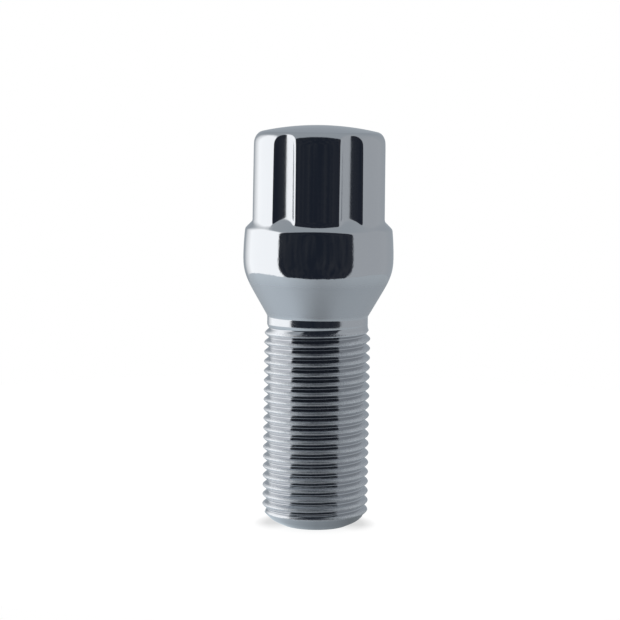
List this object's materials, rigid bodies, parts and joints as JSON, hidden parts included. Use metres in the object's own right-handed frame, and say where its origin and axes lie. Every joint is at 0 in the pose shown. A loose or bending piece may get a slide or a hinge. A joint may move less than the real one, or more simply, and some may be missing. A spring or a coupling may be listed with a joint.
{
  "type": "wheel bolt",
  "caption": "Chrome-plated steel wheel bolt with a fine-threaded shank, conical seat, barrel-shaped collar and a domed, fluted head for a spline socket.",
  "frame": {"origin": "centre of the flat face at the threaded tip, which the bolt stands on", "axes": "+Z along the bolt's axis, from the threaded tip to the domed head; X and Y across it, with +X through the middle of a flute"},
  "size_m": [0.0194, 0.0194, 0.0521],
  "materials": {
    "chrome_plate": "bright chrome plate over forged steel, polished on the head and collar, slightly satin on the seat and along the thread's crests"
  },
  "bodies": {
    "root": {"wheel_bolt": "chrome_plate"}
  },
  "joints": []
}
